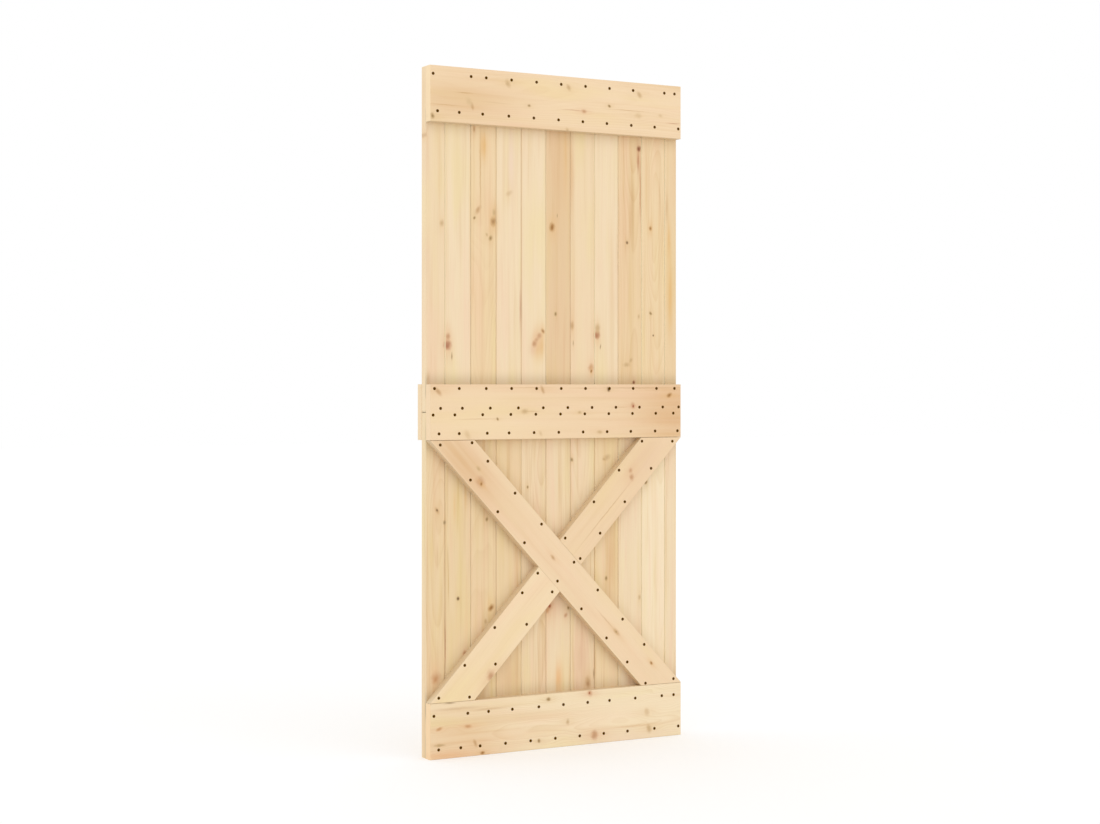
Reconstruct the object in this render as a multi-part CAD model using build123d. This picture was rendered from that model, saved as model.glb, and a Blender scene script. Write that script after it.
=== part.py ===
from build123d import *
import math
import os

# Sliding door leaf of the barn type in solid pine: two sets of tongue-and-groove boards,
# three front rails, one back rail and a cross brace in the lower half.
# Millimetres. +X is to the right as seen from the front, +Y runs from front to back, +Z is up.
# The origin is the middle of the top rail's front face, where hanger straps are bolted on.

# Leaf
LEAF_WIDTH = 900.0
LEAF_HEIGHT = 2100.0
LEAF_EDGE_RADIUS = 2.0

# Boards
BOARD_THICKNESS = 32.0
BOARD_COVER = 88.0
FIRST_BOARD_COVER = 64.0
LEAST_BOARD_COVER = 30.0
SEAM_GAP = 1.0
SEAM_BEVEL = 2.0
BACK_BEVEL = 0.6
TONGUE_LENGTH = 7.0
TONGUE_THICKNESS = 8.0
TONGUE_BEVEL = 1.2
TONGUE_SIDE_ROOM = 0.2
TONGUE_END_ROOM = 1.0
HALVES_GAP = 2.0

# Rails
RAIL_THICKNESS = 28.0
TOP_RAIL_WIDTH = 170.0
MIDDLE_RAIL_WIDTH = 170.0
BOTTOM_RAIL_WIDTH = 170.0
BACK_RAIL_THICKNESS = 28.0
BACK_RAIL_WIDTH = 170.0
RAIL_ARRIS_RADIUS = 2.0

# Cross brace
BRACE_THICKNESS = 28.0
BRACE_WIDTH = 110.0
BRACE_ARRIS_RADIUS = 1.0
BRACE_END_GAP = 0.8
BRACE_FIT = 0.2

# Planes that the pieces share
LEFT = -LEAF_WIDTH / 2
RIGHT = LEAF_WIDTH / 2
TOP = TOP_RAIL_WIDTH / 2
BOTTOM = TOP - LEAF_HEIGHT
MIDDLE = (TOP + BOTTOM) / 2
BOARD_FRONT = RAIL_THICKNESS
BOARD_BACK = BOARD_FRONT + BOARD_THICKNESS
BOARD_CORE = (BOARD_FRONT + BOARD_BACK) / 2


def board_edges():
    """X of the leaf's left edge, of each seam and of the right edge."""
    laid = LEAF_WIDTH - FIRST_BOARD_COVER - LEAST_BOARD_COVER
    full_boards = int(laid // BOARD_COVER)
    seams = [LEFT + FIRST_BOARD_COVER + BOARD_COVER * n for n in range(full_boards + 1)]
    return [LEFT, *seams, RIGHT]


def corners(section, side, depth):
    """One corner of a board's section: side and depth are 0 for left and front, -1 for right and back."""
    return section.vertices().group_by(Axis.X)[side].sort_by(Axis.Y)[depth]


def tongue(shoulder):
    """Section of the tongue that stands out to the right of a board's shoulder."""
    nose = Pos(shoulder + TONGUE_LENGTH / 2, BOARD_CORE) * Rectangle(TONGUE_LENGTH, TONGUE_THICKNESS)
    return chamfer(nose.vertices().group_by(Axis.X)[-1], TONGUE_BEVEL)


def groove(shoulder):
    """Section of the groove that the next board's tongue enters, cut into a left shoulder."""
    depth = TONGUE_LENGTH - SEAM_GAP + TONGUE_END_ROOM
    width = TONGUE_THICKNESS + 2 * TONGUE_SIDE_ROOM
    return Pos(shoulder + depth / 2, BOARD_CORE) * Rectangle(depth, width)


def board_section(left, right):
    """Section of one board between two seams, with a bevelled joint at a seam and a round arris at the leaf's edge."""
    joined_left = left > LEFT
    joined_right = right < RIGHT
    left_face = left + SEAM_GAP / 2 if joined_left else left
    right_face = right - SEAM_GAP / 2 if joined_right else right
    centre = (left_face + right_face) / 2
    section = Pos(centre, BOARD_CORE) * Rectangle(right_face - left_face, BOARD_THICKNESS)
    for side, joined in ((0, joined_left), (-1, joined_right)):
        if joined:
            section = chamfer(corners(section, side, 0), SEAM_BEVEL)
            section = chamfer(corners(section, side, -1), BACK_BEVEL)
        else:
            section = fillet(corners(section, side, 0), LEAF_EDGE_RADIUS)
            section = fillet(corners(section, side, -1), LEAF_EDGE_RADIUS)
    if joined_left:
        section -= groove(left_face)
    if joined_right:
        section += tongue(right_face)
    return section


def board_set(low, high):
    """The boards side by side between two heights, from left to right."""
    edges = board_edges()
    sections = [board_section(left, right) for left, right in zip(edges, edges[1:])]
    return [extrude(Pos(0, 0, low) * section, amount=high - low) for section in sections]


def rail(centre_z, width, front, back, bare_face):
    """A rail across the whole leaf; bare_face is 0 if its front is bare and -1 if its back is."""
    plank = Pos(0, (front + back) / 2, centre_z) * Box(LEAF_WIDTH, back - front, width)
    arrises = plank.faces().sort_by(Axis.Y)[bare_face].edges()
    return fillet(arrises, RAIL_ARRIS_RADIUS)


def brace_outline(end_run, low, high, spread=0.0):
    """Outline of the diagonal from upper left to lower right, its ends level, spread wider at both sides."""
    near = spread + end_run
    points = [(LEFT - spread, high), (LEFT + near, high), (RIGHT + spread, low), (RIGHT - near, low)]
    return make_face(Polyline(*points, close=True))


def level_cut(clear_height):
    """Length of a brace's level end cut, so that its sides lie BRACE_WIDTH apart and its tips reach the corners."""
    width_squared = BRACE_WIDTH**2
    lead = clear_height**2 - width_squared
    half = width_squared * LEAF_WIDTH
    rest = width_squared * (LEAF_WIDTH**2 + clear_height**2)
    return (math.sqrt(half**2 + lead * rest) - half) / lead


def brace_piece(outline):
    """A brace of the given outline, laid on the boards, with its two long front arrises eased."""
    piece = extrude(Plane.XZ.offset(-BOARD_FRONT) * outline, amount=BRACE_THICKNESS)
    long_edges = piece.faces().sort_by(Axis.Y)[0].edges().sort_by(SortBy.LENGTH)[-2:]
    return fillet(long_edges, BRACE_ARRIS_RADIUS)


def cross_brace():
    """The long diagonal, and the upper and lower piece of the other one, which butt against it."""
    high = MIDDLE - MIDDLE_RAIL_WIDTH / 2 - BRACE_END_GAP
    low = BOTTOM + BOTTOM_RAIL_WIDTH + BRACE_END_GAP
    end_run = level_cut(high - low)
    long_outline = brace_outline(end_run, low, high)
    room = brace_outline(end_run, low, high, spread=BRACE_FIT * end_run / BRACE_WIDTH)
    short_outlines = (mirror(long_outline, about=Plane.YZ) - room).faces().sort_by(Axis.Y)
    return brace_piece(long_outline), brace_piece(short_outlines[-1]), brace_piece(short_outlines[0])


pieces = {
    "top_rail": rail(TOP - TOP_RAIL_WIDTH / 2, TOP_RAIL_WIDTH, 0, BOARD_FRONT, 0),
    "middle_rail": rail(MIDDLE, MIDDLE_RAIL_WIDTH, 0, BOARD_FRONT, 0),
    "bottom_rail": rail(BOTTOM + BOTTOM_RAIL_WIDTH / 2, BOTTOM_RAIL_WIDTH, 0, BOARD_FRONT, 0),
    "back_rail": rail(MIDDLE, BACK_RAIL_WIDTH, BOARD_BACK, BOARD_BACK + BACK_RAIL_THICKNESS, -1),
}
for name, low, high in (
    ("upper_board", MIDDLE + HALVES_GAP / 2, TOP),
    ("lower_board", BOTTOM, MIDDLE - HALVES_GAP / 2),
):
    for number, board in enumerate(board_set(low, high), start=1):
        pieces[f"{name}_{number:02d}"] = board
pieces["long_brace"], pieces["short_brace_upper"], pieces["short_brace_lower"] = cross_brace()

os.makedirs("parts", exist_ok=True)
for name, piece in pieces.items():
    piece.label = name
    export_step(piece, f"parts/{name}.step")
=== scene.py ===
import math
import random
from collections import namedtuple

import bmesh
import bpy
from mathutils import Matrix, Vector


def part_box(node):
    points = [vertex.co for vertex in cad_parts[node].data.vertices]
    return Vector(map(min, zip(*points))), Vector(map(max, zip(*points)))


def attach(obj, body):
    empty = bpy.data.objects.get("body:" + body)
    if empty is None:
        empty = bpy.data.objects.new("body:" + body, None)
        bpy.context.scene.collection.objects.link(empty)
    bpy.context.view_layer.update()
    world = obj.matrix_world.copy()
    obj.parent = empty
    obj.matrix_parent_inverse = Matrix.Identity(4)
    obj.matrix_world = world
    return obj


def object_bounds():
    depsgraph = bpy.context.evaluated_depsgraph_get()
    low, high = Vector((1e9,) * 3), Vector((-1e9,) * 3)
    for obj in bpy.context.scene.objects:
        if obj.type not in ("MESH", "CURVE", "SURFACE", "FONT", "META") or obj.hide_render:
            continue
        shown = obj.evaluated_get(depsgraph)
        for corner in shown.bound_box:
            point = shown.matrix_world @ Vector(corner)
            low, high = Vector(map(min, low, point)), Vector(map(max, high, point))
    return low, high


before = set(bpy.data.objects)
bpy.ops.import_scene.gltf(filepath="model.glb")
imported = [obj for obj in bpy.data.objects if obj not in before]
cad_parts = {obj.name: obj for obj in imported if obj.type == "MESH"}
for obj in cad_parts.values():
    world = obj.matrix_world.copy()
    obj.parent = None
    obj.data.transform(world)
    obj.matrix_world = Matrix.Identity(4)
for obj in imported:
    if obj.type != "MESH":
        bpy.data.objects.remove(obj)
cad_low, cad_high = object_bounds()

# A barn-type door leaf in bare knotty pine, with dark nail heads.
# Objects are in metres in the row frame. Marks and nails are written in millimetres on the leaf:
# across from its left edge and up from its bottom edge, as seen from the front.
MM = 0.001
LEFT = cad_low.x
BOTTOM = cad_low.z

# How far a noise may be moved, in its own waves, so that no two pieces show the same part of it
NOISE_SHIFT = 50


def linear(colour):
    """An 8-bit sRGB colour as a linear shader colour."""
    shares = [channel / 255 for channel in colour]
    return (*[s / 12.92 if s <= 0.04045 else ((s + 0.055) / 1.055) ** 2.4 for s in shares], 1.0)


class Field:
    """A shader socket that Python's operators work on by adding Math nodes."""

    def __init__(self, tree, socket=None):
        self.tree = tree
        self.socket = socket

    def node(self, kind, settings=None, inputs=None, output=0):
        """Adds a node: its settings first, then its sockets' values or links. Returns one of its outputs."""
        node = self.tree.nodes.new(kind)
        for key, value in (settings or {}).items():
            setattr(node, key, value)
        for key, value in (inputs or {}).items():
            if isinstance(value, Field):
                self.tree.links.new(value.socket, node.inputs[key])
            else:
                node.inputs[key].default_value = value
        return Field(self.tree, node.outputs[output] if node.outputs else None)

    def math(self, operation, first, second=0.0):
        return self.node("ShaderNodeMath", {"operation": operation}, {0: first, 1: second})

    def __add__(self, other):
        return self.math("ADD", self, other)

    def __sub__(self, other):
        return self.math("SUBTRACT", self, other)

    def __mul__(self, other):
        return self.math("MULTIPLY", self, other)

    def __truediv__(self, other):
        return self.math("DIVIDE", self, other)

    def __pow__(self, other):
        return self.math("POWER", self, other)

    def __radd__(self, other):
        return self.math("ADD", other, self)

    def __rsub__(self, other):
        return self.math("SUBTRACT", other, self)

    def __rmul__(self, other):
        return self.math("MULTIPLY", other, self)

    def __abs__(self):
        return self.math("ABSOLUTE", self)

    def fraction(self):
        return self.math("FRACT", self)

    def exponential(self):
        return self.math("EXPONENT", self)

    def smooth(self, start, end):
        """0 up to start, 1 from end, and a soft step between them."""
        ends = {"From Min": start, "From Max": end, "To Min": 0.0, "To Max": 1.0}
        return self.node("ShaderNodeMapRange", {"interpolation_type": "SMOOTHSTEP"}, {"Value": self, **ends})

    def mix(self, colour, other, blend="MIX"):
        """One colour where this is 0, and the other, or their blend, where it is 1."""
        settings = {"data_type": "RGBA", "blend_type": blend}
        return self.node("ShaderNodeMix", settings, {0: self, 6: colour, 7: other}, 2)

    def tint(self, colour, tint):
        """A colour, multiplied by a tint where this is 1."""
        return self.mix(colour, (*tint, 1.0), "MULTIPLY")


def new_material(name):
    """An empty material and the field to build it from."""
    material = bpy.data.materials.new(name)
    material.use_nodes = True
    material.node_tree.nodes.clear()
    return material, Field(material.node_tree)


def bell(across, along, half_width, half_length):
    """A soft spot: 1 at its middle, fading over the given half sizes."""
    return (((across / half_width) ** 2.0 + (along / half_length) ** 2.0) * -1.0).exponential()


def clouds(place, draw, per_metre, detail=2.0):
    """Soft noise from -1 to 1, with so many waves a metre across, deep and along the grain."""
    shift = [draw.uniform(-NOISE_SHIFT, NOISE_SHIFT) for _ in range(3)]
    settings = {"operation": "MULTIPLY_ADD"}
    moved = place.node("ShaderNodeVectorMath", settings, {0: place, 1: per_metre, 2: shift})
    inputs = {"Vector": moved, "Scale": 1.0, "Detail": detail, "Roughness": 0.5}
    return place.node("ShaderNodeTexNoise", {}, inputs) * 2.0 - 1.0


# Pine tones, from palest to darkest (8-bit sRGB)
LIGHT = (254, 234, 199)
PALE = (249, 226, 190)
CREAM = (247, 222, 184)
STRAW = (246, 219, 177)
WHEAT = (243, 216, 173)
HONEY = (243, 214, 171)
TAN = (238, 207, 165)
PEACH = (249, 221, 183)
APRICOT = (247, 217, 178)
BLOND = (252, 226, 187)
# sawn ends: paler partly for the fresh-sawn tone and partly as painted light
SAWN_TONE_AND_LIGHT = (255, 229, 187)
SAWN_WARM_TONE_AND_LIGHT = (255, 220, 174)
# painted light: pales the seam bevels, lifting their shade, and the leaf's side edges
SEAM_LIGHT = (255, 238, 202)
# painted shade for the sides of rails and braces that face the recesses
WALL_SHADE = (226, 203, 167)

# What darkens or turns the tone, as linear tints
LATEWOOD = (0.84, 0.74, 0.60)
STREAK = (0.89, 0.82, 0.71)
LINE = (0.84, 0.76, 0.63)
FIBRE = (0.93, 0.90, 0.85)
PINKER = (1.0, 0.95, 0.965)
YELLOWER = (0.985, 1.0, 0.89)
GOLDER = (0.97, 0.962, 0.855)
# painted shade: darkens the boards' front in the corners beside rails and braces
PAINTED_SHADE = (0.74, 0.75, 0.75)

# How a piece was sawn: where the pith lay, in mm across and behind its middle, how much its rings show
# and how wavy they run
Cut = namedtuple("Cut", "pith_across pith_deep figure wave", defaults=(1.0,))
RIFT_RIGHT = Cut(150, 90, 0.26)
RIFT_LEFT = Cut(-140, 100, 0.26)
FLAT = Cut(12, 75, 0.45)
FLAT_WIDE = Cut(-20, 120, 0.30)
QUARTER = Cut(230, 20, 0.22)
WAVY = Cut(30, 45, 0.60, 9.0)
SMOOTH = Cut(150, 90, 0.10)
RING_WIDTH = 3.1

# Knots: colours of heart, body and the stained wood round it, how strong each shows, and length for width
KnotKind = namedtuple("KnotKind", "heart heart_share body body_share halo halo_share stretch")
RED = KnotKind((158, 82, 52), 0.90, (184, 114, 78), 0.88, (232, 186, 144), 0.60, 1.15)
BROWN = KnotKind((156, 104, 48), 0.80, (194, 146, 88), 0.80, (234, 190, 132), 0.60, 1.50)
DARK = KnotKind((88, 62, 34), 0.85, (156, 120, 76), 0.80, (226, 190, 138), 0.45, 1.30)
OLIVE = KnotKind((140, 110, 64), 0.65, (184, 150, 100), 0.75, (228, 194, 142), 0.45, 1.40)
FAINT = KnotKind((190, 154, 106), 0.30, (212, 178, 130), 0.60, (234, 200, 150), 0.45, 1.60)
BLUSH = KnotKind((190, 136, 96), 0.50, (213, 166, 124), 0.65, (237, 197, 156), 0.60, 1.30)
SMEAR = KnotKind((186, 142, 94), 0.40, (210, 168, 120), 0.60, (234, 194, 146), 0.50, 2.20)
AMBER = KnotKind((196, 136, 88), 0.45, (216, 164, 114), 0.60, (238, 194, 148), 0.55, 2.20)
GHOST = KnotKind((214, 180, 134), 0.25, (224, 192, 146), 0.50, (238, 206, 160), 0.40, 1.60)
RUST = KnotKind((132, 80, 52), 0.85, (172, 116, 78), 0.85, (228, 184, 140), 0.55, 1.30)
DASH = KnotKind((146, 114, 76), 0.50, (184, 150, 106), 0.60, (230, 194, 146), 0.30, 4.50)

Knot = namedtuple("Knot", "across up radius kind tilt", defaults=(0.0,))
Stain = namedtuple("Stain", "across up half_width half_length colour share")

# Stains, resin and joint lines, the joint line partly painted shade (8-bit sRGB)
RESIN = (186, 118, 76)
ORANGE = (233, 185, 118)
ROSE = (247, 220, 194)
PINK = (236, 198, 164)
DUN = (228, 187, 138)
TAWNY = (208, 166, 114)
GOLD = (238, 208, 146)
FLAME = (240, 186, 126)
CORAL = (238, 186, 136)
SALMON = (232, 190, 156)
SAND = (231, 188, 138)
COPPER = (227, 182, 132)
FAWN = (224, 182, 138)
UMBER = (176, 134, 82)
SCUFF = (150, 116, 72)
JOINT_DIRT_AND_SHADE = (128, 104, 60)

BOARD_KNOTS = [
    # upper boards
    Knot(-1, 1891, 3.5, SMEAR),
    Knot(163, 1918, 4, SMEAR),
    Knot(176, 1671, 7, SMEAR, 30),
    Knot(164, 1646, 4, OLIVE, 25),
    Knot(231, 1638, 10, BROWN, 5),
    Knot(233, 1665, 7, FAINT),
    Knot(285, 1727, 8, GHOST, 60),
    Knot(438, 1628, 9, BROWN),
    Knot(456, 1665, 1.6, DASH),
    Knot(757, 1892, 7, RUST),
    Knot(801, 1638, 5.5, BROWN),
    Knot(53, 1625, 7, FAINT),
    Knot(72, 1256, 12, RED),
    Knot(73, 1281, 8, BLUSH),
    Knot(87, 1219, 2.5, DASH),
    Knot(220, 1585, 6, OLIVE, 25),
    Knot(207, 1596, 4, FAINT, -20),
    Knot(404, 1302, 5.5, BROWN, -30),
    Knot(390, 1286, 9, BLUSH, 40),
    Knot(381, 1274, 6, BLUSH, 35),
    Knot(374, 1262, 8, BLUSH, 20),
    Knot(450, 1356, 5, OLIVE),
    Knot(510, 1319, 6.5, SMEAR),
    Knot(514, 1264, 2, DASH),
    Knot(579, 1188, 10, BLUSH),
    Knot(580, 1177, 4, BROWN, 20),
    Knot(601, 1291, 10.5, RED),
    Knot(602, 1314, 9, FAINT),
    Knot(614, 1255, 2, DASH, 10),
    Knot(713, 1589, 4.5, DARK),
    Knot(757, 1353, 5, FAINT),
    Knot(711, 1198, 8, FAINT, 85),
    Knot(727, 1212, 5, FAINT, 30),
    Knot(738, 1141, 5, RUST),
    Knot(802, 1364, 4.5, OLIVE, -40),
    Knot(812, 1293, 2.8, DARK),
    # lower boards
    Knot(37, 751, 6, SMEAR, -30),
    Knot(37, 752, 3.6, DARK, -30),
    Knot(62, 714, 5, OLIVE),
    Knot(207, 719, 5, OLIVE, 20),
    Knot(350, 815, 3.5, OLIVE),
    Knot(108, 480, 5, DARK),
    Knot(221, 445, 8, BROWN, 40),
    Knot(202, 405, 5, FAINT),
    Knot(130, 313, 6, BLUSH, 35),
    Knot(33, 242, 15, BLUSH, 15),
    Knot(32, 238, 7, AMBER, 20),
    Knot(635, 517, 5, OLIVE),
    Knot(427, 440, 12, BLUSH, 35),
    Knot(422, 428, 6, AMBER, 20),
    Knot(429, 440, 5, RED, 30),
    Knot(496, 430, 4, OLIVE),
    Knot(487, 408, 6, BLUSH, 30),
    Knot(589, 216, 3.5, DASH),
    Knot(568, 186, 5, RUST),
    Knot(568, 190, 9, SMEAR),
    Knot(760, 450, 5, FAINT),
    Knot(509, 897, 5, OLIVE),
    Knot(636, 902, 9, FAINT, 60),
    Knot(628, 896, 4, FAINT, -70),
    Knot(784, 820, 5.5, OLIVE, 35),
]
BOARD_STAINS = [
    # upper boards
    Stain(196, 1870, 14, 45, ORANGE, 0.90),
    Stain(184, 1790, 2.2, 120, TAWNY, 0.85),
    Stain(234, 1662, 6, 36, DUN, 0.80),
    Stain(755, 1856, 4.5, 38, RESIN, 1.00),
    Stain(763, 1755, 2.5, 100, RESIN, 0.85),
    Stain(325, 1375, 4, 60, RESIN, 0.60),
    Stain(392, 1256, 20, 40, ORANGE, 0.95),
    Stain(367, 1243, 10, 18, PINK, 0.80),
    Stain(875, 1430, 11, 120, ORANGE, 0.95),
    Stain(872, 1600, 8, 60, ORANGE, 0.90),
    Stain(862, 1705, 6, 45, TAWNY, 0.60),
    Stain(838, 1745, 3, 70, TAWNY, 0.45),
    Stain(4, 1840, 9, 90, PINK, 0.45),
    Stain(4, 1520, 9, 90, PINK, 0.50),
    Stain(292, 1820, 10, 110, ROSE, 0.80),
    Stain(456, 1800, 24, 190, DUN, 0.50),
    Stain(487, 1850, 12, 150, ORANGE, 0.40),
    Stain(509, 1800, 8, 130, DUN, 0.80),
    Stain(735, 1690, 4, 110, TAWNY, 0.50),
    Stain(8, 1152, 6, 20, TAWNY, 0.60),
    Stain(0, 2015, 7, 80, DUN, 0.35),
    # where the two sets meet: a dark line, partly dirt and partly painted shade in the gap
    Stain(0, 1050, 20, 2.8, JOINT_DIRT_AND_SHADE, 0.95),
    # lower boards
    Stain(0, 85, 7, 80, DUN, 0.50),
    Stain(15, 625, 7, 70, GOLD, 0.60),
    Stain(95, 764, 5, 50, ORANGE, 0.45),
    Stain(135, 789, 5, 40, ORANGE, 0.40),
    Stain(66, 345, 1.8, 60, RESIN, 0.80),
    Stain(452, 440, 28, 34, PINK, 0.80),
    Stain(450, 270, 22, 90, LIGHT, 0.45),
    Stain(463, 210, 11, 50, FLAME, 0.95),
    Stain(548, 265, 24, 100, SALMON, 0.75),
    Stain(655, 560, 22, 120, DUN, 0.70),
    Stain(285, 225, 34, 90, FAWN, 0.60),
    Stain(593, 250, 4, 60, TAWNY, 0.85),
    Stain(568, 192, 14, 35, TAWNY, 0.40),
]
RAIL_KNOTS = [
    # top rail
    Knot(143, 1983, 5, SMEAR, 75),
    Knot(131, 1998, 9, GHOST, 55),
    Knot(8, 1946, 7, OLIVE, 80),
    Knot(266, 2062, 8, FAINT, 60),
    Knot(340, 1999, 4.5, OLIVE),
    Knot(537, 1995, 7, BLUSH),
    Knot(630, 2018, 4, OLIVE, 30),
    Knot(742, 2062, 7, FAINT, 55),
    Knot(737, 1994, 9, GHOST),
    Knot(822, 2000, 5, GHOST, 20),
    Knot(482, 2066, 7, FAINT, 50),
    Knot(478, 1930, 6, FAINT, 60),
    # middle rail
    Knot(27, 1113, 7, SMEAR, 50),
    Knot(388, 1118, 6, SMEAR, 65),
    Knot(325, 1051, 8, FAINT),
    Knot(230, 1028, 3.5, OLIVE, 60),
    Knot(126, 981, 9, GHOST, 60),
    Knot(381, 982, 6, GHOST, 60),
    Knot(627, 1119, 6, DARK, 60),
    Knot(718, 1067, 8, BLUSH, 80),
    Knot(719, 1065, 4, RED, 80),
    Knot(521, 1047, 5, FAINT),
    Knot(594, 984, 6, FAINT),
    Knot(856, 1100, 7, BROWN, -30),
    # bottom rail
    Knot(30, 91, 5, AMBER, -25),
    Knot(128, 92, 5.5, AMBER, 5),
    Knot(32, 42, 4, DASH),
    Knot(30, 42, 5, FAINT),
    Knot(153, 38, 6, SMEAR, 70),
    Knot(178, 7, 5, BROWN),
    Knot(375, 26, 5, OLIVE, 80),
    Knot(409, 153, 6, OLIVE),
    Knot(559, 161, 8, BLUSH, 70),
    Knot(557, 161, 3, RED, 70),
    Knot(478, 77, 6, FAINT, 85),
    Knot(575, 26, 12.5, BLUSH, 85),
    Knot(770, 84, 9, GHOST, 70),
    Knot(778, 31, 9, FAINT, 80),
]
RAIL_STAINS = [
    # top rail
    Stain(120, 2005, 60, 190, DUN, 0.70),
    Stain(118, 2023, 1.4, 24, TAWNY, 0.90),
    Stain(60, 1982, 1.2, 45, TAWNY, 0.60),
    Stain(225, 2000, 1.2, 40, TAWNY, 0.60),
    Stain(505, 1996, 1.4, 45, RESIN, 0.70),
    Stain(705, 2009, 1.2, 70, TAWNY, 0.80),
    Stain(872, 1979, 1.2, 22, RESIN, 0.70),
    # middle rail
    Stain(190, 1010, 50, 260, BLOND, 0.75),
    Stain(150, 1090, 30, 170, BLOND, 0.45),
    Stain(348, 1052, 1.5, 22, TAWNY, 0.80),
    Stain(330, 1124, 1.2, 70, TAWNY, 0.80),
    Stain(535, 1123, 1.0, 45, TAWNY, 0.80),
    Stain(745, 1124, 1.3, 110, UMBER, 0.90),
    Stain(676, 1063, 1.0, 30, TAWNY, 0.80),
    Stain(160, 1028, 1.2, 60, TAWNY, 0.70),
    Stain(870, 1050, 130, 140, COPPER, 0.90),
    # bottom rail
    Stain(100, 70, 95, 190, SAND, 0.60),
    Stain(90, 150, 4, 70, TAWNY, 0.60),
    Stain(200, 140, 4, 60, TAWNY, 0.50),
    Stain(50, 10, 14, 110, CORAL, 0.70),
    Stain(66, 167, 2, 16, SCUFF, 0.85),
    Stain(670, 95, 45, 200, LIGHT, 0.65),
    Stain(720, 5, 26, 190, ROSE, 0.80),
    Stain(720, 42, 2.5, 90, DUN, 0.80),
]
BRACE_KNOTS = [
    Knot(171, 836, 14, BLUSH, 10),
    Knot(174, 830, 4.5, BROWN, 43),
    Knot(164, 877, 6, FAINT),
    Knot(425, 594, 5, SMEAR),
    Knot(655, 349, 7, SMEAR),
    Knot(655, 348, 2.5, OLIVE),
    Knot(787, 240, 4.5, BROWN),
    Knot(709, 860, 7, BLUSH, -40),
    Knot(713, 838, 9, BLUSH, -60),
    Knot(206, 240, 13, BLUSH, -45),
]
BRACE_STAINS = [
    Stain(112, 896, 55, 170, DUN, 0.90),
    Stain(281, 746, 40, 110, HONEY, 0.65),
    Stain(665, 340, 40, 90, BLOND, 0.50),
    Stain(621, 730, 1.6, 120, TAWNY, 0.75),
    Stain(620, 386, 2, 40, TAWNY, 0.60),
    Stain(760, 905, 45, 90, PINK, 0.60),
]

# The leaf's left edge, its seams and its right edge, in mm across
LEAF_WIDTH = 900
FIRST_BOARD = 64
BOARD_COVER = 88
BOARD_EDGES = [0, *range(FIRST_BOARD, LEAF_WIDTH, BOARD_COVER), LEAF_WIDTH]
# How strongly painted light pales the wood at the leaf's left edge, at each seam, lifting its shade, and at
# the right edge
UPPER_SEAM_LIGHT = (0.2, 1.4, 0.5, 0.45, 0.1, 0.7, 0.3, 1.0, 0.5, 1.1, 1.1, 0.1)
LOWER_SEAM_LIGHT = (0.3, 0.25, 0.5, 0.35, 0.6, 0.4, 0.4, 0.2, 0.25, 1.0, 1.8, 0.1)

# Each board's tone, cut and how streaky it is, from the left
UPPER_BOARDS = [
    (CREAM, RIFT_RIGHT, 0.5),
    (PALE, RIFT_LEFT, 0.6),
    (STRAW, FLAT_WIDE, 0.5),
    (PALE, RIFT_RIGHT, 0.6),
    (PALE, QUARTER, 0.5),
    (TAN, RIFT_LEFT, 0.7),
    (CREAM, QUARTER, 0.5),
    (PALE, RIFT_RIGHT, 0.6),
    (HONEY, FLAT, 0.7),
    (STRAW, FLAT, 0.6),
    (WHEAT, RIFT_LEFT, 0.5),
]
LOWER_BOARDS = [
    (WHEAT, FLAT, 1.1),
    (WHEAT, RIFT_LEFT, 1.1),
    (WHEAT, FLAT_WIDE, 1.1),
    (WHEAT, RIFT_RIGHT, 1.1),
    (CREAM, FLAT, 1.0),
    (CREAM, RIFT_LEFT, 1.0),
    (CREAM, FLAT_WIDE, 1.0),
    (STRAW, RIFT_RIGHT, 1.0),
    (PALE, RIFT_LEFT, 1.0),
    (LIGHT, FLAT, 0.9),
    (PALE, RIFT_RIGHT, 0.9),
]

# The cross brace, in mm on the leaf: where its centre lines end at the rails, and its half width
BRACE_NEAR = 75.6
BRACE_FAR = 824.4
BRACE_TOP = 964.2
BRACE_FOOT = 170.8
BRACE_HALF_WIDTH = 55.0
BRACE_LEAN = math.atan2(BRACE_FAR - BRACE_NEAR, BRACE_TOP - BRACE_FOOT)
BRACE_CENTRE = ((BRACE_NEAR + BRACE_FAR) / 2, (BRACE_TOP + BRACE_FOOT) / 2)

# Corners where a rail or brace stands on the boards, with painted shade: a point on its edge, which way the
# boards lie open, and how strong the painted shade is there
Corner = namedtuple("Corner", "across up open_across open_up share")
SHADE_FADE = 56.0
# Where the painted shade ends under the rail or brace, in mm in from its edge, and behind the boards' front,
# in mm before their middle: where it still shows in full and where it is gone
UNDER_FULL = 30.0
UNDER_GONE = 50.0
FRONT_FULL = 12.0
FRONT_GONE = 6.0


def brace_corner(open_across, open_up, share):
    """The corner along one side of a diagonal, where shade is painted."""
    across = BRACE_CENTRE[0] + open_across * BRACE_HALF_WIDTH
    up = BRACE_CENTRE[1] + open_up * BRACE_HALF_WIDTH
    return Corner(across, up, open_across, open_up, share)


LONG_SIDES = [
    brace_corner(-math.cos(BRACE_LEAN), -math.sin(BRACE_LEAN), 0.45),
    brace_corner(math.cos(BRACE_LEAN), math.sin(BRACE_LEAN), 0.40),
]
SHORT_SIDES = [
    brace_corner(-math.cos(BRACE_LEAN), math.sin(BRACE_LEAN), 0.50),
    brace_corner(math.cos(BRACE_LEAN), -math.sin(BRACE_LEAN), 0.40),
]
UNDER_TOP = Corner(0, 1930, 0.0, -1.0, 0.35)
OVER_MIDDLE = Corner(0, 1135, 0.0, 1.0, 0.85)
UNDER_MIDDLE = Corner(0, 965, 0.0, -1.0, 0.25)
OVER_BOTTOM = Corner(0, 170, 0.0, 1.0, 0.65)
UPPER_SHADE_CORNERS = [UNDER_TOP, OVER_MIDDLE]
LOWER_SHADE_CORNERS = [UNDER_MIDDLE, OVER_BOTTOM, *LONG_SIDES, *SHORT_SIDES]
MIDDLE_SIDES = [OVER_MIDDLE, UNDER_MIDDLE]


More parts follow.
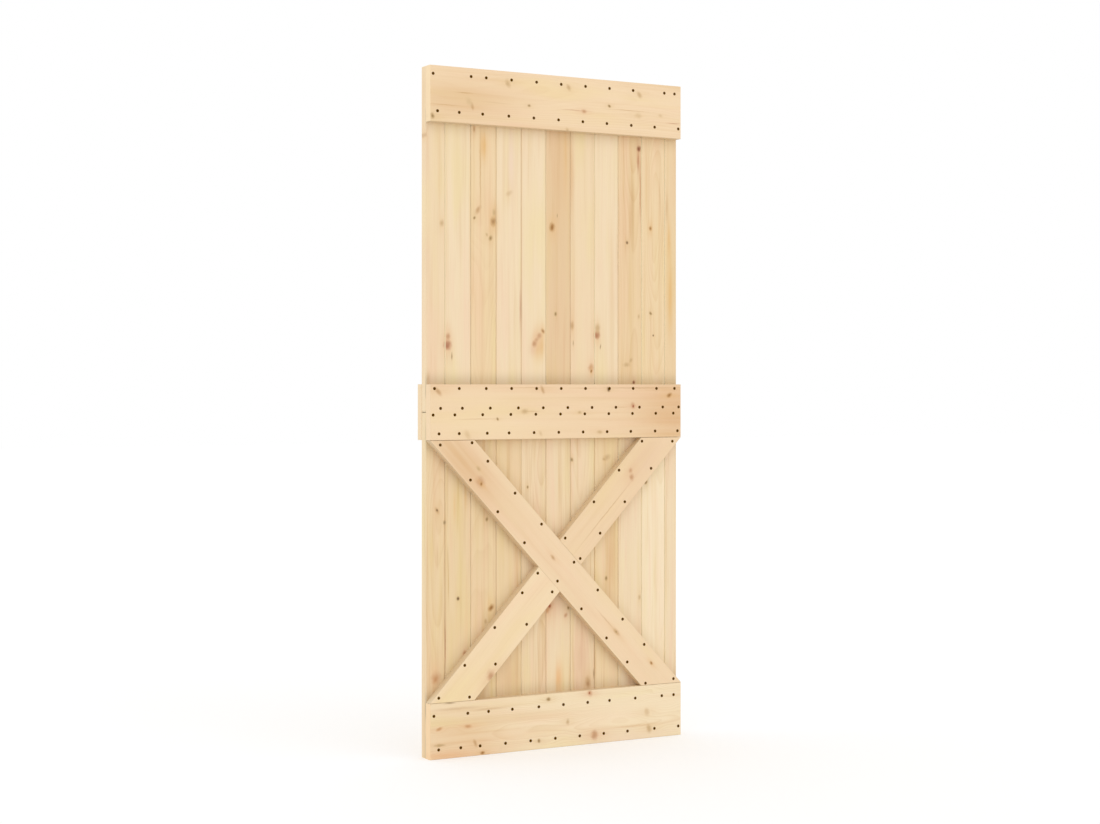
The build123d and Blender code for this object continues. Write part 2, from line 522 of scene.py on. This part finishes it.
def marks_on(name, marks, reach):
    """The marks that lie on a piece or within reach of it."""
    low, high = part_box(name)
    found = []
    for mark in marks:
        x = LEFT + mark.across * MM
        z = BOTTOM + mark.up * MM
        room = reach(mark) * MM
        if low.x - room < x < high.x + room and low.z - room < z < high.z + room:
            found.append(mark)
    return found


# A long edge or seam of a piece, paled by painted light at a seam and darkened by painted shade on a recess
# side: a point on it, how broad it is in mm, its colour and how strong that shows
Edge = namedtuple("Edge", "across up breadth colour share")
SEAM_BREADTH = 2.8
# How broad and how strong the painted shade on the recess sides is
WALL_BREADTH = 1.3
WALL_SHARE = 0.8

# A sawn end's colour, paler partly for the fresh-sawn tone and partly as painted light: how strong it shows,
# and how deep it goes in full and till it is gone, in metres
END_SHARE = 0.75
END_FULL = 0.0006
END_GONE = 0.0022

# A wooden piece: the lean of its grain, its wood, its marks, the corners on its face with painted shade, its
# edges with painted light at the seams and painted shade on the walls, and its sawn ends, paled partly by
# painted light
Plank = namedtuple("Plank", "name lean tone cut streaky knots stains corners edges ends")
# A piece's own frame: its middle, lean and half length, and a point's place across, deep and along its grain
Grain = namedtuple("Grain", "middle lean half_length place across deep along")
# A knot's place across its piece, its pull on the grain, how many radii off a point is, and its halo
KnotFields = namedtuple("KnotFields", "kind across pull reach halo")

# How fine each pattern in the wood is, in waves a metre across, deep and along the grain
SWEEP = (3.0, 3.0, 1.1)
RIPPLE = (18.0, 18.0, 7.0)
SWELL = (4.0, 4.0, 1.1)
FINE_RAGS = (120.0, 120.0, 80.0)
COARSE_RAGS = (45.0, 45.0, 30.0)
ZONES = (14.0, 14.0, 2.2)
BANDS = (34.0, 34.0, 0.9)
HUES = (48.0, 48.0, 2.4)
STREAKS = (62.0, 62.0, 2.0)
LINES = (120.0, 120.0, 3.6)
FIBRES = (720.0, 720.0, 9.0)
# How often the years' growth changes, in waves a metre out from the pith
GROWTH = 45.0

# How far the grain wanders, in metres: its sweep and ripple across, and its swell in depth
SWEEP_REACH = 0.012
RIPPLE_REACH = 0.0025
SWELL_REACH = 0.034

# How far a knot pulls the grain over to itself, as a share, and how far its pull and its halo reach, in its
# radii beside it and along the grain
KNOT_PULL = 0.75
PULL_BESIDE = 2.2
PULL_ALONG = 4.5
HALO_BESIDE = 1.7
HALO_ALONG = 3.2
# How far off a piece a knot's middle may lie and still show on it, in its radii
KNOT_REACH = 1.6

# How ragged the rims are: a knot's in its radii, and a stain's in metres
KNOT_RAGS = 0.28
STAIN_RAGS = 0.001
STAIN_BANDS = 0.004

# How high rings, fibres and rags stand, in metres
RING_RELIEF = 0.00003
FIBRE_RELIEF = 0.00002
RAG_RELIEF = 0.000004


def grain_of(ground, plank):
    """A piece's own frame, from object coordinates."""
    low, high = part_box(plank.name)
    middle = (low + high) / 2
    lean = plank.lean
    half_length = (high - low).dot(Vector((abs(math.sin(lean)), 0.0, math.cos(lean)))) / 2
    here = ground.node("ShaderNodeTexCoord", output="Object")
    inputs = {"Vector": here, "Location": middle, "Rotation": (0.0, lean, 0.0)}
    place = ground.node("ShaderNodeMapping", {"vector_type": "TEXTURE"}, inputs)
    axes = [ground.node("ShaderNodeSeparateXYZ", {}, {0: place}, axis) for axis in "XYZ"]
    return Grain(middle, lean, half_length, place, *axes)


def own_place(mark, grain):
    """Where a mark on the leaf lies in a piece's own frame: across and along its grain."""
    x = LEFT + mark.across * MM - grain.middle.x
    z = BOTTOM + mark.up * MM - grain.middle.z
    lean = grain.lean
    return x * math.cos(lean) - z * math.sin(lean), x * math.sin(lean) + z * math.cos(lean)


def knot_fields(plank, grain):
    """What each knot on a piece does to the wood round it."""
    fields = []
    for knot in marks_on(plank.name, plank.knots, lambda knot: knot.radius * KNOT_REACH):
        knot_across, knot_along = own_place(knot, grain)
        beside = grain.across - knot_across
        beyond = grain.along - knot_along
        radius = knot.radius * MM
        stretch = knot.kind.stretch
        turn = math.radians(knot.tilt)
        level = (beside * math.cos(turn) - beyond * math.sin(turn)) / radius
        upright = (beside * math.sin(turn) + beyond * math.cos(turn)) / (radius * stretch)
        reach = (level**2.0 + upright**2.0) ** 0.5
        pull = bell(beside, beyond, radius * PULL_BESIDE, radius * PULL_ALONG)
        halo = bell(beside, beyond, radius * HALO_BESIDE, radius * HALO_ALONG * stretch)
        fields.append(KnotFields(knot.kind, knot_across, pull, reach, halo))
    return fields


def year_rings(cut, bent, sunk, draw):
    """Rings round the pith, from 0 in a year's early wood up to its late wood."""
    from_pith = ((bent - cut.pith_across * MM) ** 2.0 + (sunk - cut.pith_deep * MM) ** 2.0) ** 0.5
    moved = from_pith * GROWTH + draw.uniform(0, NOISE_SHIFT)
    settings = {"noise_dimensions": "1D"}
    growth = bent.node("ShaderNodeTexNoise", settings, {"W": moved, "Scale": 1.0, "Detail": 2.0})
    year = (from_pith / (RING_WIDTH * MM) + growth * 2.5).fraction()
    return year**2.2 * (1.0 - year.smooth(0.88, 1.0)) * (growth * 1.6)


def clear_wood(plank, place, rings, draw):
    """The colour of the wood between its marks, and its bands, streaks and fibres."""
    streaky = plank.streaky
    colour = (rings * plank.cut.figure).tint(linear(plank.tone), LATEWOOD)
    zones = clouds(place, draw, ZONES)
    colour = zones.smooth(0.0, 0.5).tint(colour, PINKER)
    colour = zones.smooth(0.0, -0.5).tint(colour, YELLOWER)
    bands = clouds(place, draw, BANDS)
    colour = (bands.smooth(0.0, 0.7) * min(0.6, streaky * 1.2)).tint(colour, STREAK)
    hues = clouds(place, draw, HUES)
    colour = (hues.smooth(0.0, 0.6) * streaky).tint(colour, PINKER)
    colour = (hues.smooth(0.0, -0.6) * streaky).tint(colour, GOLDER)
    streaks = clouds(place, draw, STREAKS, 3.0)
    colour = (streaks.smooth(0.0, 0.55) * streaky).tint(colour, STREAK)
    lines = clouds(place, draw, LINES)
    colour = (lines.smooth(0.28, 0.70) * zones.smooth(-0.4, 0.2) * streaky).tint(colour, LINE)
    fibres = clouds(place, draw, FIBRES)
    colour = (fibres.smooth(-0.2, 0.7) * 0.45).tint(colour, FIBRE)
    return colour, bands, streaks, fibres


def with_stains(colour, plank, grain, rags, patchy):
    """A piece's colour with its stains, their rims ragged and their strength patchy."""
    for stain in marks_on(plank.name, plank.stains, lambda stain: stain.half_width):
        stain_across, stain_along = own_place(stain, grain)
        beside = grain.across - stain_across + rags
        spread = bell(beside, grain.along - stain_along, stain.half_width * MM, stain.half_length * MM)
        colour = (spread * patchy * stain.share).mix(colour, linear(stain.colour))
    return colour


def with_knots(colour, knots, rags, patchy):
    """A piece's colour with its knots: the stained wood round each, its body and its heart."""
    for knot in knots:
        kind = knot.kind
        rim = knot.reach + rags
        colour = (knot.halo * patchy * kind.halo_share).mix(colour, linear(kind.halo))
        colour = (rim.smooth(1.50, 0.40) * kind.body_share).mix(colour, linear(kind.body))
        colour = (rim.smooth(0.90, 0.10) * kind.heart_share).mix(colour, linear(kind.heart))
    return colour


def with_edges(colour, plank, grain):
    """A piece's colour with its sawn ends, paled partly by painted light, painted light at its seams and
    painted shade on its recess sides.
    """
    ends = abs(grain.along).smooth(grain.half_length - END_GONE, grain.half_length - END_FULL)
    colour = (ends * END_SHARE).mix(colour, linear(plank.ends))
    for edge in plank.edges:
        edge_across, _ = own_place(edge, grain)
        near = abs(grain.across - edge_across).smooth(edge.breadth * MM, edge.breadth * 0.4 * MM)
        colour = (near * edge.share).mix(colour, linear(edge.colour))
    return colour


def with_painted_shade(colour, plank, grain):
    """A piece's colour with painted shade on its front, in the corners beside rails and braces."""
    front = grain.deep.smooth(-FRONT_GONE * MM, -FRONT_FULL * MM)
    for corner in plank.corners:
        way = Vector((corner.open_across, 0.0, corner.open_up))
        edge = Vector((LEFT + corner.across * MM, 0.0, BOTTOM + corner.up * MM)) - grain.middle
        inputs = {0: grain.place, 1: way}
        reach = front.node("ShaderNodeVectorMath", {"operation": "DOT_PRODUCT"}, inputs, "Value")
        reach = reach - edge.dot(way)
        near = reach.smooth(SHADE_FADE * MM, 0.0) ** 1.5
        near = near * reach.smooth(-UNDER_GONE * MM, -UNDER_FULL * MM)
        colour = (near * front * corner.share).tint(colour, PAINTED_SHADE)
    return colour


def pine(plank, draw):
    """Bare pine: year rings bent by knots, with streaks and stains, painted shade in the corners and on the
    recess sides, and painted light paling the seams and, in part, the sawn ends.
    """
    material, ground = new_material("pine_" + plank.name)
    grain = grain_of(ground, plank)
    place = grain.place
    bent = grain.across + clouds(place, draw, SWEEP, 1.0) * SWEEP_REACH
    bent = bent + clouds(place, draw, RIPPLE, 1.0) * (RIPPLE_REACH * plank.cut.wave)
    sunk = grain.deep + clouds(place, draw, SWELL) * SWELL_REACH
    rags = clouds(place, draw, FINE_RAGS, 1.0) + clouds(place, draw, COARSE_RAGS, 1.0)
    knots = knot_fields(plank, grain)
    for knot in knots:
        bent = bent - (bent - knot.across) * knot.pull * KNOT_PULL
    rings = year_rings(plank.cut, bent, sunk, draw)

    colour, bands, streaks, fibres = clear_wood(plank, place, rings, draw)
    patchy = 0.8 + streaks * 0.6
    colour = with_stains(colour, plank, grain, rags * STAIN_RAGS + bands * STAIN_BANDS, patchy)
    colour = with_knots(colour, knots, rags * KNOT_RAGS, patchy)
    # painted light at the seams and, in part, the sawn ends, painted shade on the recess sides, then painted
    # shade in the corners
    colour = with_edges(colour, plank, grain)
    colour = with_painted_shade(colour, plank, grain)

    height = rings * RING_RELIEF + fibres * FIBRE_RELIEF + rags * RAG_RELIEF
    inputs = {
        "Base Color": colour,
        "Roughness": 0.60 - rings * 0.08 + fibres * 0.05,
        "Normal": ground.node("ShaderNodeBump", {}, {"Strength": 1.0, "Distance": 1.0, "Height": height}),
        "Specular IOR Level": 0.25,
    }
    surface = ground.node("ShaderNodeBsdfPrincipled", {}, inputs)
    ground.node("ShaderNodeOutputMaterial", {}, {"Surface": surface})
    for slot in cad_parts[plank.name].material_slots:
        slot.material = material


# Lean of upright and of level grain, and what the rails and braces have on them
UPRIGHT = 0.0
LEVEL = math.pi / 2
RAIL_MARKS = (RAIL_KNOTS, RAIL_STAINS, [])
NO_MARKS = ([], [], [])
BRACE_WOOD = (SMOOTH, 0.20, BRACE_KNOTS, BRACE_STAINS, [])


def walls(sides):
    """Painted shade on the sides of a rail or brace that face the recesses."""
    return [Edge(side.across, side.up, WALL_BREADTH, WALL_SHADE, WALL_SHARE) for side in sides]


def finish_wood():
    """Gives every wooden piece its own pine."""
    planks = []
    halves = (
        ("upper", UPPER_BOARDS, UPPER_SEAM_LIGHT, UPPER_SHADE_CORNERS),
        ("lower", LOWER_BOARDS, LOWER_SEAM_LIGHT, LOWER_SHADE_CORNERS),
    )
    for half, boards, shares, corners in halves:
        # paler painted light along the seams and the leaf's edges
        seams = [Edge(across, 0, SEAM_BREADTH, SEAM_LIGHT, share) for across, share in zip(BOARD_EDGES, shares)]
        for number, wood in enumerate(boards):
            name = f"{half}_board_{number + 1:02d}"
            edges = seams[number:number + 2]
            planks.append(Plank(name, UPRIGHT, *wood, BOARD_KNOTS, BOARD_STAINS, corners, edges, SAWN_TONE_AND_LIGHT))
    planks += [
        Plank("top_rail", LEVEL, PEACH, FLAT_WIDE, 0.45, *RAIL_MARKS, walls([UNDER_TOP]), SAWN_TONE_AND_LIGHT),
        Plank("middle_rail", LEVEL, APRICOT, SMOOTH, 0.38, *RAIL_MARKS, walls(MIDDLE_SIDES), PEACH),
        Plank("bottom_rail", LEVEL, LIGHT, WAVY, 0.45, *RAIL_MARKS, walls([OVER_BOTTOM]), SAWN_WARM_TONE_AND_LIGHT),
        Plank("back_rail", LEVEL, CREAM, FLAT_WIDE, 0.45, *NO_MARKS, walls(MIDDLE_SIDES), CREAM),
        Plank("long_brace", -BRACE_LEAN, PEACH, *BRACE_WOOD, walls(LONG_SIDES), PEACH),
        Plank("short_brace_upper", BRACE_LEAN, APRICOT, *BRACE_WOOD, walls(SHORT_SIDES), PEACH),
        Plank("short_brace_lower", BRACE_LEAN, BLOND, *BRACE_WOOD, walls(SHORT_SIDES), PEACH),
    ]
    for number, plank in enumerate(planks):
        pine(plank, random.Random(number))


# Nails

# Each row: its height up the leaf, the usual share across a board, and the boards nailed elsewhere
TOP_ROWS = [
    (2074, 0.44, {1: 0.16, 2: 0.85, 10: 0.78}),
    (1962, 0.33, {1: 0.39, 2: 0.39, 3: 0.30, 9: 0.36, 10: 0.36, 11: 0.77}),
]
MIDDLE_ROWS = [
    (1122, 0.44, {1: 0.23, 2: 0.39}),
    (1062, 0.71, {1: 0.55, 2: 0.51, 3: 0.60, 11: 0.80}),
    (1042, 0.41, {1: 0.16, 2: 0.22, 3: 0.30, 11: 0.34}),
    (985, 0.34, {1: 0.47, 2: 0.39, 3: 0.48, 10: 0.38, 11: 0.70}),
]
BOTTOM_ROWS = [
    (132, 0.53, {1: 0.20, 2: 0.72, 4: 0.47, 8: 0.44, 10: 0.67, 11: 0.36}),
    (29, 0.20, {1: 0.45, 2: 0.45, 10: 0.35, 11: 0.77}),
]
# Rows on the diagonals: mm to the left of the centre line, or to its right if negative, and mm along it
# from its upper end
LONG_ROWS = [
    (39, (-19, 130, 267, 403, 574, 700, 834, 946, 1046)),
    (-43, (51, 130, 268, 404, 574, 700, 834, 952, 1114)),
]
SHORT_UPPER_ROWS = [
    (45, (58, 183, 318, 470)),
    (-40, (-20, 98, 242, 375, 481)),
]
SHORT_LOWER_ROWS = [
    (44, (614, 694, 834, 984, 1112)),
    (-35, (623, 755, 914, 1044)),
]

# Half of a nail head's section: radius and height over the wood, in mm
NAIL_PROFILE = ((0.0, 0.60), (3.2, 0.50), (4.8, 0.20), (5.2, -0.40), (0.0, -1.40))
NAIL_SIDES = 10
NAIL_WELD = 0.02
IRON = (84, 54, 8)
WORN_IRON = (102, 68, 18)
IRON_BLOTCHES = (900.0, 900.0, 900.0)
IRON_SEED = 101


def blackened_iron():
    """Dark brown-black nail iron, a little uneven."""
    material, ground = new_material("blackened_iron")
    here = ground.node("ShaderNodeTexCoord", output="Object")
    blotches = clouds(here, random.Random(IRON_SEED), IRON_BLOTCHES)
    colour = blotches.smooth(-0.4, 0.6).mix(linear(IRON), linear(WORN_IRON))
    inputs = {
        "Base Color": colour,
        "Roughness": 0.70 + blotches * 0.12,
        "Specular IOR Level": 0.0,
    }
    surface = ground.node("ShaderNodeBsdfPrincipled", {}, inputs)
    ground.node("ShaderNodeOutputMaterial", {}, {"Surface": surface})
    return material


def row_spots(rows):
    """Nail places in rows across the leaf, one in each board."""
    spots = []
    for up, usual, elsewhere in rows:
        for number, (left, right) in enumerate(zip(BOARD_EDGES, BOARD_EDGES[1:]), start=1):
            spots.append((left + (right - left) * elsewhere.get(number, usual), up))
    return spots


def brace_spots(top, foot, rows):
    """Nail places in rows along a diagonal."""
    top, foot = Vector(top), Vector(foot)
    step = (foot - top).normalized()
    left = Vector((step.y, -step.x))
    return [top + step * run + left * aside for aside, runs in rows for run in runs]


def nail_heads(name, spots, face, outward, material):
    """Low domed nail heads on a wooden face, as one mesh; outward is -1 at the front and 1 at the back."""
    mesh = bmesh.new()
    for across, up in spots:
        x = LEFT + across * MM
        z = BOTTOM + up * MM
        line = [mesh.verts.new((x + r * MM, face + outward * h * MM, z)) for r, h in NAIL_PROFILE]
        edges = [mesh.edges.new(pair) for pair in zip(line, line[1:])]
        bmesh.ops.spin(
            mesh,
            geom=line + edges,
            cent=(x, face, z),
            axis=(0, 1, 0),
            angle=math.tau,
            steps=NAIL_SIDES,
            use_merge=True,
            use_duplicate=False,
        )
    bmesh.ops.remove_doubles(mesh, verts=mesh.verts, dist=NAIL_WELD * MM)
    bmesh.ops.recalc_face_normals(mesh, faces=mesh.faces)
    data = bpy.data.meshes.new(name)
    mesh.to_mesh(data)
    mesh.free()
    data.shade_smooth()
    data.materials.append(material)
    piece = bpy.data.objects.new(name, data)
    bpy.context.scene.collection.objects.link(piece)
    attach(piece, "root")


def drive_nails():
    """The rows of nails on the rails and along the braces."""
    iron = blackened_iron()
    front = cad_low.y
    back = cad_high.y
    long_line = ((BRACE_NEAR, BRACE_TOP), (BRACE_FAR, BRACE_FOOT))
    short_line = ((BRACE_FAR, BRACE_TOP), (BRACE_NEAR, BRACE_FOOT))
    nail_heads("nails_top_rail", row_spots(TOP_ROWS), front, -1, iron)
    nail_heads("nails_middle_rail", row_spots(MIDDLE_ROWS), front, -1, iron)
    nail_heads("nails_bottom_rail", row_spots(BOTTOM_ROWS), front, -1, iron)
    nail_heads("nails_back_rail", row_spots(MIDDLE_ROWS), back, 1, iron)
    nail_heads("nails_long_brace", brace_spots(*long_line, LONG_ROWS), front, -1, iron)
    nail_heads("nails_short_brace_upper", brace_spots(*short_line, SHORT_UPPER_ROWS), front, -1, iron)
    nail_heads("nails_short_brace_lower", brace_spots(*short_line, SHORT_LOWER_ROWS), front, -1, iron)


# Studio

WHITE = (1.0, 1.0, 1.0, 1.0)
FLOOR_GREY = (0.80, 0.80, 0.80, 1.0)
FLOOR_GLOW = 0.25
FLOOR_HALF = 30.0


def white_where_seen(ground, plain, seen):
    """One shader for what is seen, straight, mirrored or through glass, and one for what lights the leaf."""
    kinds = ("Camera", "Glossy", "Transmission")
    rays = [ground.node("ShaderNodeLightPath", output=f"Is {kind} Ray") for kind in kinds]
    share = ground.math("MINIMUM", rays[0] + rays[1] + rays[2], 1.0)
    return ground.node("ShaderNodeMixShader", {}, {0: share, 1: plain, 2: seen})


def studio_floor():
    """A wide white floor under the leaf."""
    mesh = bmesh.new()
    bmesh.ops.create_grid(mesh, x_segments=1, y_segments=1, size=FLOOR_HALF)
    bmesh.ops.translate(mesh, verts=mesh.verts, vec=(0, 0, BOTTOM))
    data = bpy.data.meshes.new("studio_floor")
    mesh.to_mesh(data)
    mesh.free()
    material, ground = new_material("white_floor")
    plain = ground.node("ShaderNodeBsdfDiffuse", {}, {"Color": FLOOR_GREY})
    glow = ground.node("ShaderNodeEmission", {}, {"Color": WHITE, "Strength": FLOOR_GLOW})
    seen = ground.node("ShaderNodeAddShader", {}, {0: plain, 1: glow})
    ground.node("ShaderNodeOutputMaterial", {}, {"Surface": white_where_seen(ground, plain, seen)})
    data.materials.append(material)
    floor = bpy.data.objects.new("studio_floor", data)
    bpy.context.scene.collection.objects.link(floor)


def studio_surround(strength):
    """An even white surround."""
    world = bpy.data.worlds.new("white_surround")
    world.use_nodes = True
    world.node_tree.nodes.clear()
    ground = Field(world.node_tree)
    plain = ground.node("ShaderNodeBackground", {}, {"Color": WHITE, "Strength": strength})
    seen = ground.node("ShaderNodeBackground", {}, {"Color": WHITE, "Strength": 1.0})
    ground.node("ShaderNodeOutputWorld", {}, {"Surface": white_where_seen(ground, plain, seen)})
    bpy.context.scene.world = world


def soft_sun(name, comes_from, spread, strength):
    """Even soft light from one side, spread over an angle."""
    data = bpy.data.lights.new(name, "SUN")
    data.energy = strength
    data.angle = math.radians(spread)
    lamp = bpy.data.objects.new(name, data)
    lamp.rotation_euler = (Vector(comes_from) * -1).to_track_quat("-Z", "Y").to_euler()
    bpy.context.scene.collection.objects.link(lamp)


def photo_camera():
    """A level camera at the front left of the leaf."""
    data = bpy.data.cameras.new("camera")
    data.lens = 64.34
    data.sensor_width = 36.0
    data.shift_y = -0.0237
    camera = bpy.data.objects.new("camera", data)
    camera.location = (-3.026, -5.355, -0.885)
    camera.rotation_euler = (math.pi / 2, 0.0, math.radians(-29.18))
    bpy.context.scene.collection.objects.link(camera)
    bpy.context.scene.camera = camera


finish_wood()
drive_nails()
studio_floor()
studio_surround(strength=0.94)
soft_sun("front_light", comes_from=(0.5, -1.0, 0.0), spread=40.0, strength=0.60)
soft_sun("left_edge_light", comes_from=(-1.0, 0.45, 0.10), spread=30.0, strength=0.40)
photo_camera()
bpy.context.scene.view_settings.view_transform = "Standard"
